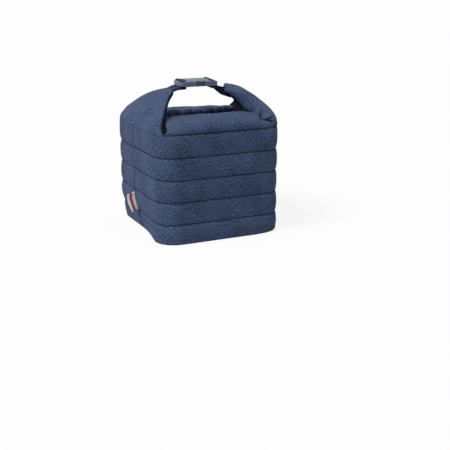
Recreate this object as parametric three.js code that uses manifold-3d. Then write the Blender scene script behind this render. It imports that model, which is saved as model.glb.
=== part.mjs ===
// Insulated lunch bag: a square quilted tube with a padded base. Its collar folds in from the
// front and the back, and is drawn up from both sides into two wings that a side-release buckle
// joins into the carry handle.
// Millimetres, +Z up, the front towards -Y, origin in the middle of the flat base.
import * as THREE from 'three';
import { mergeVertices } from 'three/addons/utils/BufferGeometryUtils.js';
import Module from 'manifold-3d';

const wasm = await Module();
wasm.setup();

// Quilted body, measured over its stitch lines
const bodyWidth = 180;
const bodyDepth = 187;
const cornerRadius = 25;
const lowestChannel = 26;
const channelPitch = 30.3;
const channelCount = 5;
const quiltBulge = 3.5;

// Layers of the wall and the base
const outerCloth = 1.4;
const wallFoam = 5;
const liningCloth = 0.8;
const basePanel = 1.4;
const baseBoard = 2;
const baseFoam = 4;
const seatGap = 0.3;

// Collar: the two folded flaps and the two wings, each a padded band
const bandThickness = 10.4;
const edgeThinning = 0.3;
const hemTurn = 150;
const waddingTurn = 87;
const flapLength = 63;
const flapHemThickness = 9;
const flapBaseHalf = 73;
const flapHemHalf = 62;
const flapPuff = 0.12;
const flapDroop = 6;
const frontFlapRise = [18, -10];
const backFlapRise = [8, 4];
const wingLength = 60.5;
const wingTipThickness = 6.6;
const wingBaseHalf = 79;
const wingTipHalf = 20.5;
const wingDroop = 7;
const droopSpan = 1.12;
const leftWingRise = [64, 24];
const rightWingRise = [92, 5];
const gussetThickness = 3;
const gussetStart = 20;
const gussetInnerEdge = 23;
const gussetEdgeInset = 1;
const gussetTipWidth = 6;
const gussetClearance = 0.8;
const pleatHeight = 9.5;
const pleatTop = 0.6;

// Side-release buckle, level, its middle over the middle of the bag
const buckleLength = 57;
const buckleHalfWidth = 16;
const buckleWaist = 1.3;
const buckleWaistX = -8;
const buckleCorner = 3;
const buckleHeight = 8.8;
const buckleRise = 51.3;
const rimWidth = 2.2;
const slotWidth = 3.2;
const slotEndClearance = 0.6;
const barWidth = 3;
const barHeight = 2.6;
const mouthX = 9.6;
const cavityDepth = 21;
const cavityHalfWidth = 13.2;
const cavityHalfHeight = 2.6;
const windowStart = -3.9;
const windowEnd = 7.1;
const windowFrame = 1;
const windowHalfHeight = 2.1;
const plugClearance = 0.4;
const guideHalfWidth = 3.5;
const guideTipGap = 2;
const armThickness = 2.2;
const armTravel = 2.5;
const armRootX = 15.8;
const armHook = 3;
const armTipTaper = 1;
const padRecess = 1;
const padRamp = 3;
const padClearance = 0.6;
const plugEndDrop = 2.4;

// Webbing that joins each wing to its half of the buckle
const webbingWidth = 25;
const webbingThickness = 1.5;
const webbingClearance = 0.2;
const webbingLead = 1;

// Folded side label
const labelBottom = 28;
const labelHeight = 25;
const labelReach = 12;
const labelDroop = 3;
const labelThickness = 0.9;

// Steps that curved surfaces are cut into
const cornerSteps = 5;
const channelSteps = [0, 0.1, 0.32, 0.68, 0.9];
const alongSteps = 6;
const acrossSteps = 6;
const wrapStep = 38;

// Cutters reach past what they cut, and joined blocks reach into each other
const overcut = 1;
const sinkIn = 0.5;

const halfWidth = bodyWidth / 2;
const halfDepth = bodyDepth / 2;
const wallTop = lowestChannel + channelPitch * (channelCount - 1);
const bandRadius = bandThickness / 2;
const hingeHeight = wallTop + seatGap + bandRadius;
const degrees = Math.PI / 180;

const denim = { color: 0x3d4d6b, roughness: 0.9, metalness: 0 };
const foam = { color: 0xe9e7e0, roughness: 0.95, metalness: 0 };
const facing = { color: 0x232a4a, roughness: 0.7, metalness: 0 };
const coolerFilm = { color: 0xb9bcc0, roughness: 0.4, metalness: 0.3 };
const board = { color: 0xd8d8d4, roughness: 0.6, metalness: 0 };
const buckleResin = { color: 0x5b6784, roughness: 0.45, metalness: 0 };
const webbing = { color: 0x262b45, roughness: 0.85, metalness: 0 };
const tape = { color: 0xf1efec, roughness: 0.8, metalness: 0 };

const bag = new THREE.Group();

function addPiece(name, geometry, finish) {
  const mesh = new THREE.Mesh(geometry, new THREE.MeshStandardMaterial(finish));
  mesh.name = name;
  bag.add(mesh);
  return mesh;
}

// A closed body from points and triangles, turned so that its faces point outwards
function closedBody(points, faces) {
  let volume = 0;
  for (const [a, b, c] of faces) {
    volume += points[a].dot(points[b].clone().cross(points[c])) / 6;
  }
  const index = faces.flatMap(([a, b, c]) => (volume > 0 ? [a, b, c] : [a, c, b]));
  const geometry = new THREE.BufferGeometry();
  const position = new Float32Array(points.flatMap((p) => [p.x, p.y, p.z]));
  geometry.setAttribute('position', new THREE.BufferAttribute(position, 3));
  geometry.setIndex(index);
  geometry.computeVertexNormals();
  return geometry;
}

// A slab between two grids of points that have the same rows and columns
function slab(top, bottom) {
  const rows = top.length;
  const columns = top[0].length;
  const points = [...top.flat(), ...bottom.flat()];
  const under = rows * columns;
  const at = (row, column) => row * columns + column;
  const faces = [];
  const quad = (a, b, c, d) => faces.push([a, b, c], [a, c, d]);
  for (let i = 0; i < rows - 1; i++) {
    for (let j = 0; j < columns - 1; j++) {
      quad(at(i, j), at(i + 1, j), at(i + 1, j + 1), at(i, j + 1));
      quad(under + at(i, j), under + at(i, j + 1), under + at(i + 1, j + 1), under + at(i + 1, j));
    }
    for (const [j, turned] of [[0, false], [columns - 1, true]]) {
      const side = [at(i, j), under + at(i, j), under + at(i + 1, j), at(i + 1, j)];
      quad(...(turned ? side.reverse() : side));
    }
  }
  for (let j = 0; j < columns - 1; j++) {
    for (const [i, turned] of [[0, false], [rows - 1, true]]) {
      const end = [at(i, j), at(i, j + 1), under + at(i, j + 1), under + at(i, j)];
      quad(...(turned ? end.reverse() : end));
    }
  }
  return closedBody(points, faces);
}

// A tube from closed rings: up the outside, down the inside, and back to the first ring
function tube(rings) {
  const count = rings[0].length;
  const points = rings.flat();
  const faces = [];
  for (let i = 0; i < rings.length; i++) {
    const next = (i + 1) % rings.length;
    for (let j = 0; j < count; j++) {
      const k = (j + 1) % count;
      faces.push([i * count + j, i * count + k, next * count + k]);
      faces.push([i * count + j, next * count + k, next * count + j]);
    }
  }
  return closedBody(points, faces);
}

function toManifold(geometry) {
  const plain = geometry.clone();
  plain.deleteAttribute('normal');
  plain.deleteAttribute('uv');
  const merged = mergeVertices(plain, 1e-4);
  const mesh = new wasm.Mesh({
    numProp: 3,
    vertProperties: new Float32Array(merged.attributes.position.array),
    triVerts: new Uint32Array(merged.index.array),
  });
  return new wasm.Manifold(mesh);
}

function toGeometry(manifold) {
  const mesh = manifold.getMesh();
  const geometry = new THREE.BufferGeometry();
  geometry.setAttribute('position', new THREE.BufferAttribute(new Float32Array(mesh.vertProperties), 3));
  geometry.setIndex([...mesh.triVerts]);
  geometry.computeVertexNormals();
  return geometry;
}

// Body outline at a distance outside the stitch lines, anticlockwise, at height z
function bodyRing(outside, z) {
  const radius = cornerRadius + outside;
  const cx = halfWidth - cornerRadius;
  const cy = halfDepth - cornerRadius;
  const ring = [];
  for (const [sx, sy, start] of [[1, 1, 0], [-1, 1, 90], [-1, -1, 180], [1, -1, 270]]) {
    for (let i = 0; i <= cornerSteps; i++) {
      const angle = (start + (90 * i) / cornerSteps) * degrees;
      ring.push(new THREE.Vector3(sx * cx + radius * Math.cos(angle), sy * cy + radius * Math.sin(angle), z));
    }
    const middle = (start + 90) * degrees;
    const reachX = (cx + radius) * Math.cos(middle);
    const reachY = (cy + radius) * Math.sin(middle);
    ring.push(new THREE.Vector3(reachX, reachY, z));
  }
  return ring;
}

// Heights of the stitch lines, from the floor seam up to the fold of the collar
const wallBottom = basePanel + seatGap;
const stitchLines = [wallBottom];
for (let i = 0; i < channelCount; i++) stitchLines.push(lowestChannel + i * channelPitch);

// How far the quilting stands out at a height
function bulgeAt(z) {
  let line = 0;
  while (line < stitchLines.length - 2 && z > stitchLines[line + 1]) line++;
  const share = (z - stitchLines[line]) / (stitchLines[line + 1] - stitchLines[line]);
  return quiltBulge * Math.sqrt(Math.max(0, Math.sin(Math.PI * Math.min(1, Math.max(0, share)))));
}

// Heights at which the quilted surface turns
function quiltHeights() {
  const heights = [];
  for (let i = 0; i < stitchLines.length - 1; i++) {
    const rise = stitchLines[i + 1] - stitchLines[i];
    for (const share of channelSteps) heights.push(stitchLines[i] + share * rise);
  }
  heights.push(wallTop);
  return heights;
}

const shellInside = -outerCloth;
const foamOutside = shellInside - seatGap;
const foamInside = foamOutside - wallFoam;
const liningOutside = foamInside - seatGap;
const liningInside = liningOutside - liningCloth;
const compartmentFloor = wallBottom + baseBoard + baseFoam + 2 * seatGap;

function makeWall() {
  const heights = quiltHeights();
  const down = [...heights].reverse();
  addPiece('outer_wall', tube([
    ...heights.map((z) => bodyRing(bulgeAt(z), z)),
    ...down.map((z) => bodyRing(bulgeAt(z) + shellInside, z)),
  ]), denim);
  const foamHeights = [compartmentFloor, ...heights.filter((z) => z > compartmentFloor)];
  addPiece('wall_wadding', tube([
    ...foamHeights.map((z) => bodyRing(bulgeAt(z) + foamOutside, z)),
    bodyRing(foamInside, wallTop),
    bodyRing(foamInside, compartmentFloor),
  ]), foam);
  addPiece('wall_lining', tube([
    bodyRing(liningOutside, compartmentFloor),
    bodyRing(liningOutside, wallTop),
    bodyRing(liningInside, wallTop),
    bodyRing(liningInside, compartmentFloor),
  ]), coolerFilm);
}

// A flat layer of the base, its edge at a distance outside the stitch lines
function baseLayer(outside, bottom, thickness) {
  const outline = new THREE.Shape(bodyRing(outside, 0).map((p) => new THREE.Vector2(p.x, p.y)));
  const geometry = new THREE.ExtrudeGeometry(outline, { depth: thickness, bevelEnabled: false });
  geometry.translate(0, 0, bottom);
  return geometry;
}

function makeBase() {
  const boardBottom = wallBottom;
  const foamBottom = boardBottom + baseBoard + seatGap;
  addPiece('base_panel', baseLayer(0, 0, basePanel), denim);
  addPiece('base_board', baseLayer(foamOutside, boardBottom, baseBoard), board);
  addPiece('base_wadding', baseLayer(foamOutside, foamBottom, baseFoam), foam);
  addPiece('lining_floor', baseLayer(liningInside - seatGap, compartmentFloor, liningCloth), coolerFilm);
}

// The label is a folded tape caught in the seam down the middle of the left side
function makeLabel() {
  const heights = quiltHeights().filter((z) => z > labelBottom && z < labelBottom + labelHeight);
  heights.unshift(labelBottom);
  heights.push(labelBottom + labelHeight);
  const face = (side) => heights.map((z) => [0, 0.5, 1].map((share) => {
    const x = -halfWidth - bulgeAt(z) * (1 - share) - quiltBulge * share - seatGap - labelReach * share;
    return new THREE.Vector3(x, (side * labelThickness) / 2, z - labelDroop * share * share);
  }));
  addPiece('side_label', slab(face(1), face(-1)), tape);
}

// A padded band of the collar. It starts at its hinge line on top of the wall, with rise[0]
// degrees of slope, and ends at its hem with rise[1]. place(inward, across, z) puts a point
// on its side of the bag.
function makeBand({ rise, length, hemThickness, baseHalf, hemHalf, droop, puff, place }) {
  const from = rise[0] * degrees;
  const turn = ((rise[1] - rise[0]) * degrees) / length;
  const slope = (s) => from + turn * s;
  const middle = (s) => {
    if (Math.abs(turn) < 1e-9) return [s * Math.cos(from), s * Math.sin(from)];
    return [(Math.sin(slope(s)) - Math.sin(from)) / turn, (Math.cos(from) - Math.cos(slope(s))) / turn];
  };
  const half = (s) => baseHalf + ((hemHalf - baseHalf) * s) / length;
  const thick = (s, v) => {
    const swell = 1 + puff * Math.sin((Math.PI * s) / length);
    const taper = bandRadius + (hemThickness / 2 - bandRadius) * (s / length);
    return taper * swell * (1 - edgeThinning * v ** 4);
  };
  const sink = (s, v) => droop * v * v * Math.sin((Math.PI * s) / (droopSpan * length));
  // side is 1 on the outer cloth and -1 on the lining; wrap turns round the hinge or the hem
  const point = (s, v, depth, side, wrap = 0) => {
    const [inward, up] = middle(s);
    const square = slope(s) + (side * Math.PI) / 2;
    const atHem = s > length / 2;
    const angle = square + (atHem ? -1 : 1) * side * wrap;
    const reach = thick(s, v) - depth;
    const down = slope(s) - Math.PI / 2;
    const a = inward + reach * Math.cos(angle) + sink(s, v) * Math.cos(down);
    const z = hingeHeight + up + reach * Math.sin(angle) + sink(s, v) * Math.sin(down);
    return place(a, v * half(s), z);
  };
  return { rise, length, half, thick, middle, point };
}

// Stations along a band: round the hinge from startWrap, along the length, round the hem
function stations(band, startWrap, endWrap) {
  const list = [];
  const startSteps = Math.ceil(Math.max(0, startWrap) / (wrapStep * degrees));
  const endSteps = Math.ceil(Math.max(0, endWrap) / (wrapStep * degrees));
  for (let i = 0; i < startSteps; i++) list.push([0, startWrap * (1 - i / startSteps)]);
  for (let i = 0; i <= alongSteps; i++) list.push([(band.length * i) / alongSteps, 0]);
  for (let i = 1; i <= endSteps; i++) list.push([band.length, (endWrap * i) / endSteps]);
  return list;
}

function bandGrid(band, list, depth, side) {
  return list.map(([s, wrap]) => {
    const row = [];
    for (let j = 0; j <= acrossSteps; j++) {
      row.push(band.point(s, (2 * j) / acrossSteps - 1, depth, side, wrap));
    }
    return row;
  });
}

function addBand(name, band) {
  const clothWrap = Math.PI - band.rise[0] * degrees;
  const cloth = stations(band, clothWrap, hemTurn * degrees);
  addPiece(`${name}_cloth`, slab(bandGrid(band, cloth, 0, 1), bandGrid(band, cloth, outerCloth, 1)), denim);
  const fill = stations(band, waddingTurn * degrees, waddingTurn * degrees);
  const fillDepth = outerCloth + seatGap;
  addPiece(`${name}_wadding`, slab(bandGrid(band, fill, fillDepth, 1), bandGrid(band, fill, fillDepth, -1)), foam);
  const seamAngle = (2 * seatGap) / bandRadius;
  const liningWrap = band.rise[0] * degrees - seamAngle;
  const skin = stations(band, liningWrap, 0);
  addPiece(`${name}_lining`, slab(bandGrid(band, skin, 0, -1), bandGrid(band, skin, liningCloth, -1)), facing);
}

const hingeX = halfWidth - bandRadius;
const hingeY = halfDepth - bandRadius;
const flapSizes = {
  length: flapLength, hemThickness: flapHemThickness, baseHalf: flapBaseHalf, hemHalf: flapHemHalf,
  droop: flapDroop, puff: flapPuff,
};
const wingSizes = {
  length: wingLength, hemThickness: wingTipThickness, baseHalf: wingBaseHalf, hemHalf: wingTipHalf,
  droop: wingDroop, puff: 0,
};
const frontFlap = makeBand({
  ...flapSizes, rise: frontFlapRise, place: (a, across, z) => new THREE.Vector3(across, -hingeY + a, z),
});
const backFlap = makeBand({
  ...flapSizes, rise: backFlapRise, place: (a, across, z) => new THREE.Vector3(across, hingeY - a, z),
});
const leftWing = makeBand({
  ...wingSizes, rise: leftWingRise, place: (a, across, z) => new THREE.Vector3(-hingeX + a, across, z),
});
const rightWing = makeBand({
  ...wingSizes, rise: rightWingRise, place: (a, across, z) => new THREE.Vector3(hingeX - a, across, z),
});

// The collar's corner cloth, folded flat against the inside of a wing behind its slanting edge
function addGusset(name, wing, side) {
  const grids = [[], []];
  const taper = (wing.half(0) - wing.half(wing.length)) / wing.length;
  const end = Math.min(wing.length, (wing.half(0) - gussetInnerEdge - gussetTipWidth) / taper);
  for (let i = 0; i <= alongSteps; i++) {
    const s = gussetStart + ((end - gussetStart) * i) / alongSteps;
    const outer = wing.half(s) - gussetEdgeInset;
    for (const [grid, depth] of [[grids[0], -gussetClearance], [grids[1], -gussetClearance - gussetThickness]]) {
      grid.push([0, 1 / 3, 2 / 3, 1].map((share) => {
        const across = gussetInnerEdge + (outer - gussetInnerEdge) * share;
        return wing.point(s, (side * across) / wing.half(s), depth, -1);
      }));
    }
  }
  addPiece(name, slab(...grids), denim);
}

// The pleat that closes each corner of the collar, standing on the rounded corner of the wall
function addPleat(name, sideX, sideY) {
  const innerX = flapBaseHalf + seatGap;
  const innerY = wingBaseHalf + seatGap;
  const cx = halfWidth - cornerRadius;
  const cy = halfDepth - cornerRadius;
  const from = Math.asin((innerY - cy) / cornerRadius);
  const to = Math.acos((innerX - cx) / cornerRadius);
  const plan = [[innerX, innerY]];
  for (let i = 0; i <= cornerSteps; i++) {
    const angle = from + ((to - from) * i) / cornerSteps;
    plan.push([cx + cornerRadius * Math.cos(angle), cy + cornerRadius * Math.sin(angle)]);
  }
  const bottom = wallTop + seatGap;
  const levels = [[bottom, 1], [bottom + bandRadius, 1], [bottom + pleatHeight, pleatTop]];
  const points = levels.flatMap(([z, share]) => plan.map(([x, y]) => new THREE.Vector3(
    sideX * (innerX + (x - innerX) * share), sideY * (innerY + (y - innerY) * share), z,
  )));
  const count = plan.length;
  const faces = [];
  for (let level = 0; level < levels.length - 1; level++) {
    for (let j = 0; j < count; j++) {
      const a = level * count + j;
      const b = level * count + ((j + 1) % count);
      faces.push([a, b, b + count], [a, b + count, a + count]);
    }
  }
  const top = (levels.length - 1) * count;
  for (let j = 1; j < count - 1; j++) faces.push([0, j + 1, j], [top, top + j, top + j + 1]);
  addPiece(name, closedBody(points, faces), denim);
}

// Buckle parts are outlines in plan, cut through their height
function plate(outline, low, high) {
  const geometry = new THREE.ExtrudeGeometry(outline, {
    depth: high - low, bevelEnabled: false, curveSegments: 4,
  });
  geometry.translate(0, 0, low);
  return toManifold(geometry);
}

function rectangle(x0, x1, y0, y1) {
  return new THREE.Shape([[x0, y0], [x1, y0], [x1, y1], [x0, y1]].map(([x, y]) => new THREE.Vector2(x, y)));
}

const buckleHeightAbove = hingeHeight + buckleRise;
const buckleEnd = buckleLength / 2;
const barX = buckleEnd - rimWidth - slotWidth - barWidth / 2;
const halfHeight = buckleHeight / 2;
const slotHalf = webbingWidth / 2 + slotEndClearance;

// Two webbing slots with the bar between them; the bar is thinner than the frame
function cutWebbingSlots(solid, side) {
  let cut = solid;
  for (const step of [-1, 1]) {
    const inner = side * barX + step * (barWidth / 2);
    const outer = inner + step * slotWidth;
    const slot = rectangle(Math.min(inner, outer), Math.max(inner, outer), -slotHalf, slotHalf);
    cut = cut.subtract(plate(slot, -halfHeight - overcut, halfHeight + overcut));
  }
  const reach = barWidth / 2 + sinkIn;
  const over = rectangle(side * barX - reach, side * barX + reach, -slotHalf, slotHalf);
  cut = cut.subtract(plate(over, barHeight / 2, halfHeight + overcut));
  return cut.subtract(plate(over, -halfHeight - overcut, -barHeight / 2));
}

function placeBuckle(name, manifold) {
  const geometry = toGeometry(manifold);
  geometry.translate(0, 0, buckleHeightAbove);
  addPiece(name, geometry, buckleResin);
}

function makeSocket() {
  const w = buckleHalfWidth;
  const round = buckleCorner;
  const waistStart = -barX + barWidth;
  const waistEnd = windowStart - windowFrame;
  const outline = new THREE.Shape();
  outline.moveTo(-buckleEnd + round, -w);
  outline.lineTo(waistStart, -w);
  outline.quadraticCurveTo(buckleWaistX, -w + 2 * buckleWaist, waistEnd, -w);
  outline.lineTo(mouthX, -w);
  outline.lineTo(mouthX, w);
  outline.lineTo(waistEnd, w);
  outline.quadraticCurveTo(buckleWaistX, w - 2 * buckleWaist, waistStart, w);
  outline.lineTo(-buckleEnd + round, w);
  outline.quadraticCurveTo(-buckleEnd, w, -buckleEnd, w - round);
  outline.lineTo(-buckleEnd, -w + round);
  outline.quadraticCurveTo(-buckleEnd, -w, -buckleEnd + round, -w);
  let socket = plate(outline, -halfHeight, halfHeight);
  const cavity = rectangle(mouthX - cavityDepth, mouthX + overcut, -cavityHalfWidth, cavityHalfWidth);
  socket = socket.subtract(plate(cavity, -cavityHalfHeight, cavityHalfHeight));
  const windows = rectangle(windowStart, windowEnd, -w - overcut, w + overcut);
  socket = socket.subtract(plate(windows, -windowHalfHeight, windowHalfHeight));
  placeBuckle('buckle_socket', cutWebbingSlots(socket, -1));
}

const plugFace = mouthX + seatGap;
const prongHalfHeight = cavityHalfHeight - plugClearance;
const armOuter = cavityHalfWidth - padClearance;

function makePlug() {
  const w = buckleHalfWidth;
  const round = buckleCorner;
  const outline = new THREE.Shape();
  outline.moveTo(plugFace, -w);
  outline.lineTo(buckleEnd - round, -w);
  outline.quadraticCurveTo(buckleEnd, -w, buckleEnd, -w + round);
  outline.lineTo(buckleEnd, w - round);
  outline.quadraticCurveTo(buckleEnd, w, buckleEnd - round, w);
  outline.lineTo(plugFace, w);
  let plug = plate(outline, -halfHeight, halfHeight);
  const pocketEnd = armRootX + seatGap;
  for (const side of [-1, 1]) {
    const inner = side * (armOuter - armThickness - armTravel);
    const outer = side * (armOuter + seatGap);
    const pocket = rectangle(plugFace - overcut, pocketEnd, Math.min(inner, outer), Math.max(inner, outer));
    plug = plug.subtract(plate(pocket, -prongHalfHeight - seatGap, prongHalfHeight + seatGap));
  }
  const guideTip = mouthX - cavityDepth + guideTipGap;
  const guide = rectangle(guideTip, plugFace + sinkIn, -guideHalfWidth, guideHalfWidth);
  plug = plug.add(plate(guide, -prongHalfHeight, prongHalfHeight));
  // the end slopes down towards the webbing
  const slope = new THREE.Shape([
    [armRootX, halfHeight], [buckleEnd + overcut, halfHeight - plugEndDrop],
    [buckleEnd + overcut, halfHeight + overcut], [armRootX, halfHeight + overcut],
  ].map(([x, z]) => new THREE.Vector2(x, z)));
  const wedge = new THREE.ExtrudeGeometry(slope, { depth: 2 * (w + overcut), bevelEnabled: false });
  wedge.rotateX(Math.PI / 2);
  wedge.translate(0, w + overcut, 0);
  plug = plug.subtract(toManifold(wedge));
  placeBuckle('buckle_plug', cutWebbingSlots(plug, 1));
}

function makeLatchArm(name, side) {
  const pad = buckleHalfWidth - padRecess;
  const inner = armOuter - armThickness;
  const tip = windowStart - armHook;
  const padStart = windowStart + padClearance;
  const padEnd = windowEnd - padClearance;
  const outline = new THREE.Shape([
    [armRootX, inner], [armRootX, armOuter], [padEnd, armOuter], [padEnd, pad], [padStart + padRamp, pad],
    [padStart, pad - armTipTaper], [padStart, armOuter], [tip, armOuter - armTipTaper], [tip, inner],
  ].map(([x, y]) => new THREE.Vector2(x, side * y)));
  placeBuckle(name, plate(outline, -windowHalfHeight + plugClearance, windowHalfHeight - plugClearance));
}

// A strap from its centre line in side view, given thickness and the webbing's width
function strap(path) {
  const side = (sign) => path.map((p, i) => {
    const before = path[Math.max(0, i - 1)];
    const after = path[Math.min(path.length - 1, i + 1)];
    const one = p.clone().sub(before).normalize();
    const two = after.clone().sub(p).normalize();
    const along = one.add(two).normalize();
    const bend = i > 0 && i < path.length - 1 ? along.dot(p.clone().sub(before).normalize()) : 1;
    const reach = webbingThickness / 2 / bend;
    return new THREE.Vector2(p.x - sign * along.y * reach, p.y + sign * along.x * reach);
  });
  const outline = new THREE.Shape([...side(1), ...side(-1).reverse()]);
  const geometry = new THREE.ExtrudeGeometry(outline, { depth: webbingWidth, bevelEnabled: false });
  geometry.rotateX(Math.PI / 2);
  geometry.translate(0, webbingWidth / 2, 0);
  return geometry;
}

// The loop leaves the wing's hem, passes under the rim, up through the outer slot, over the bar,
// down through the inner slot and back under itself
function addWebbing(name, wing, side) {
  const reachX = barWidth / 2 + webbingClearance + webbingThickness / 2;
  const reachZ = barHeight / 2 + webbingClearance + webbingThickness / 2;
  const under = -halfHeight - seatGap - webbingThickness / 2;
  const lower = under - webbingThickness - seatGap;
  const rimX = barX - buckleEnd - webbingLead;
  const [a, up] = wing.middle(wing.length);
  const endReach = wing.thick(wing.length, 0) + seatGap;
  const end = wing.rise[1] * degrees;
  const tipX = -hingeX + a + endReach * Math.cos(end) + barX;
  const tipZ = up + endReach * Math.sin(end) - buckleRise;
  const apart = (webbingThickness + seatGap) / 2;
  const turn = webbingThickness / 3;
  const path = [
    [tipX, tipZ + apart], [rimX, under], [-reachX - turn, under], [-reachX, under + turn],
    [-reachX, reachZ - turn], [-reachX + turn, reachZ], [reachX - turn, reachZ], [reachX, reachZ - turn],
    [reachX, lower + turn], [reachX - turn, lower], [rimX, lower], [tipX, tipZ - apart],
  ].map(([x, z]) => new THREE.Vector2(side * (barX - x), buckleHeightAbove + z));
  addPiece(name, strap(path), webbing);
}

makeBase();
makeWall();
makeLabel();
addBand('front_flap', frontFlap);
addBand('back_flap', backFlap);
addBand('left_wing', leftWing);
addBand('right_wing', rightWing);
addGusset('left_front_gusset', leftWing, -1);
addGusset('left_back_gusset', leftWing, 1);
addGusset('right_front_gusset', rightWing, -1);
addGusset('right_back_gusset', rightWing, 1);
addPleat('left_front_pleat', -1, -1);
addPleat('left_back_pleat', -1, 1);
addPleat('right_front_pleat', 1, -1);
addPleat('right_back_pleat', 1, 1);
makeSocket();
makePlug();
makeLatchArm('latch_arm_front', -1);
makeLatchArm('latch_arm_back', 1);
addWebbing('left_webbing', leftWing, -1);
addWebbing('right_webbing', rightWing, 1);

export default bag;
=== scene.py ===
"""Looks of a quilted lunch bag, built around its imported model. Metres, +Z up, the front towards -Y."""
import math

import bmesh
import bpy
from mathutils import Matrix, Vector, noise


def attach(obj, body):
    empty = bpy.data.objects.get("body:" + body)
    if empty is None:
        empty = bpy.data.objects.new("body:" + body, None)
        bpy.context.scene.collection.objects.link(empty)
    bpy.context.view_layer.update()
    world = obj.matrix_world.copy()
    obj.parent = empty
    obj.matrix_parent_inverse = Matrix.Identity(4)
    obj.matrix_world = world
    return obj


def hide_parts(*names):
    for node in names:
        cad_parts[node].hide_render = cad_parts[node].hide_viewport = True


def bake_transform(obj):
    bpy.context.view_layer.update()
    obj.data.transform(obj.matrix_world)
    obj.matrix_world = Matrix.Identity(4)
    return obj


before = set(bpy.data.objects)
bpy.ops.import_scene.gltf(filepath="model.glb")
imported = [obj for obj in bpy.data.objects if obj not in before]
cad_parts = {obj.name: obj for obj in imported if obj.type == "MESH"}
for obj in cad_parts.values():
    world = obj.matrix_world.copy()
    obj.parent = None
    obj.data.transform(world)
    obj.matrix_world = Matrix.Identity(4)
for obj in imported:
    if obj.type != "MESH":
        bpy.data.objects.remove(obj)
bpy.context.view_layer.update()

# The viewpoint. It looks at the front left corner from a little above, through a long lens.
azimuth = math.radians(-25.31)
elevation = math.radians(16.41)
distance = 1.2509
aim = Vector((0.0471, 0, -0.0126))
backwards = Vector((
    math.sin(azimuth) * math.cos(elevation),
    -math.cos(azimuth) * math.cos(elevation),
    math.sin(elevation),
))
lens = bpy.data.cameras.new("viewpoint")
lens.sensor_width = 36
lens.lens = 66.26
lens.clip_start = 0.05
camera = bpy.data.objects.new("viewpoint", lens)
camera.location = aim + backwards * distance
camera.rotation_mode = "QUATERNION"
camera.rotation_quaternion = backwards.to_track_quat("Z", "Y")
bpy.context.scene.collection.objects.link(camera)
bpy.context.scene.camera = camera
bpy.context.scene.view_settings.view_transform = "Standard"


# The floor is a plain white sweep that keeps a soft shadow, under a wide sun from the left.
# Materials are written as expressions: a wire is one output of a node, with the usual operators,
# and a finish is a material whose nodes are being laid.
class Wire:
    def __init__(self, finish, socket):
        self.finish = finish
        self.socket = socket

    def maths(self, operation, *values):
        return self.finish.node("Math", {"operation": operation}, dict(enumerate(values)))

    def __add__(self, other):
        return self.maths("ADD", self, other)

    def __sub__(self, other):
        return self.maths("SUBTRACT", self, other)

    def __rsub__(self, other):
        return self.maths("SUBTRACT", other, self)

    def __mul__(self, other):
        return self.maths("MULTIPLY", self, other)

    def sine(self):
        return self.maths("SINE", self)

    def between(self, low, high):
        """0 at low, 1 at high, clamped outside"""
        inputs = {"Value": self, "From Min": low, "From Max": high}
        return self.finish.node("MapRange", {"interpolation_type": "SMOOTHSTEP"}, inputs)


class Finish:
    def __init__(self, name, roughness, metallic=0.0, sheen=0.0, specular=0.5):
        self.material = bpy.data.materials.new(name)
        self.material.use_nodes = True
        self.tree = self.material.node_tree
        self.shader = self.tree.nodes["Principled BSDF"]
        self.shader.inputs["Roughness"].default_value = roughness
        self.shader.inputs["Metallic"].default_value = metallic
        self.shader.inputs["Sheen Weight"].default_value = sheen
        self.shader.inputs["Sheen Roughness"].default_value = 0.5
        self.shader.inputs["Specular IOR Level"].default_value = specular

    def node(self, kind, settings, inputs, output=0):
        made = self.tree.nodes.new("ShaderNode" + kind)
        for key, value in settings.items():
            setattr(made, key, value)
        for key, value in inputs.items():
            if isinstance(value, Wire):
                self.tree.links.new(value.socket, made.inputs[key])
            else:
                made.inputs[key].default_value = value
        return Wire(self, made.outputs[output])

    def threads(self, stretch=(1, 1, 1)):
        """The cloth's own map in metres, stretched"""
        laid = self.node("UVMap", {"uv_map": "weave"}, {})
        return self.node("Mapping", {}, {"Vector": laid, "Scale": stretch})

    def place(self, stretch):
        """Object coordinates in metres, stretched"""
        laid = self.node("TexCoord", {}, {}, output=3)
        return self.node("Mapping", {}, {"Vector": laid, "Scale": stretch})

    def split(self, vector, axis):
        return self.node("SeparateXYZ", {}, {0: vector}, output=axis)

    def noise(self, vector, scale=1.0, detail=2.0, roughness=0.5):
        inputs = {"Vector": vector, "Scale": scale, "Detail": detail, "Roughness": roughness}
        return self.node("TexNoise", {}, inputs)

    def mix(self, share, one, two):
        colours = [(*c, 1) if isinstance(c, tuple) else c for c in (one, two)]
        inputs = {0: share, 6: colours[0], 7: colours[1]}
        return self.node("Mix", {"data_type": "RGBA"}, inputs, output=2)

    def colour(self, wire):
        self.tree.links.new(wire.socket, self.shader.inputs["Base Color"])

    def rough(self, wire):
        self.tree.links.new(wire.socket, self.shader.inputs["Roughness"])

    def relief(self, height, depth):
        """Bump of a height from 0 to 1, in metres of depth"""
        bump = self.node("Bump", {}, {"Height": height, "Distance": depth, "Strength": 1.0})
        self.tree.links.new(bump.socket, self.shader.inputs["Normal"])


def finish_mesh(name, bm, smooth=True):
    data = bpy.data.meshes.new(name)
    bm.to_mesh(data)
    bm.free()
    if smooth:
        data.shade_smooth()
    made = bpy.data.objects.new(name, data)
    bpy.context.scene.collection.objects.link(made)
    return made


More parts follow.
